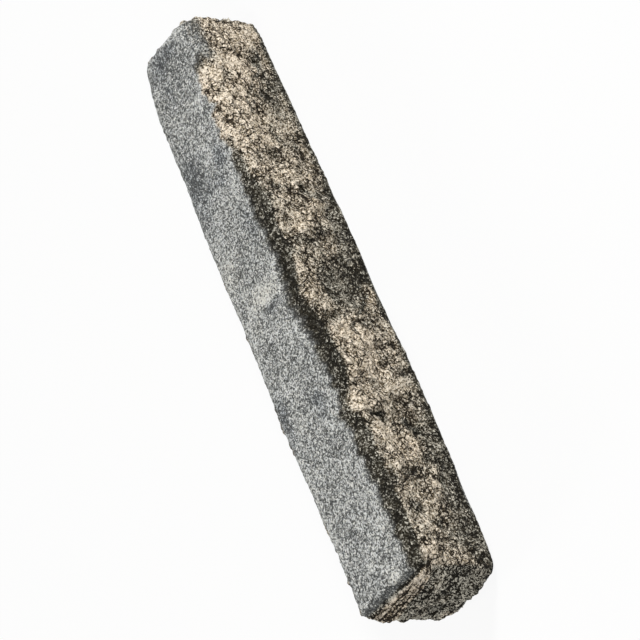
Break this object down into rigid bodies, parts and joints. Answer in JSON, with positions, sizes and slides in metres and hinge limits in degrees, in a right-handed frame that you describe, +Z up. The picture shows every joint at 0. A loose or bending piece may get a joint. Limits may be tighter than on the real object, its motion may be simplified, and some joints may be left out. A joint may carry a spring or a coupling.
{
  "type": "garden palisade",
  "caption": "Square-section tumbled concrete palisade with rounded, worn arrises, hewn side faces and bulging rough ends, for edging beds, steps and low walls.",
  "frame": {"origin": "on the bed, under the middle of the stone", "axes": "+X along the stone from the near end to the far end, +Y from the front face to the back, +Z up from the bed"},
  "size_m": [0.7993, 0.1196, 0.1198],
  "materials": {
    "concrete": "tumbled, grey and shell-limestone tan with dark grains"
  },
  "bodies": {
    "root": {"palisade": "concrete"}
  },
  "joints": []
}
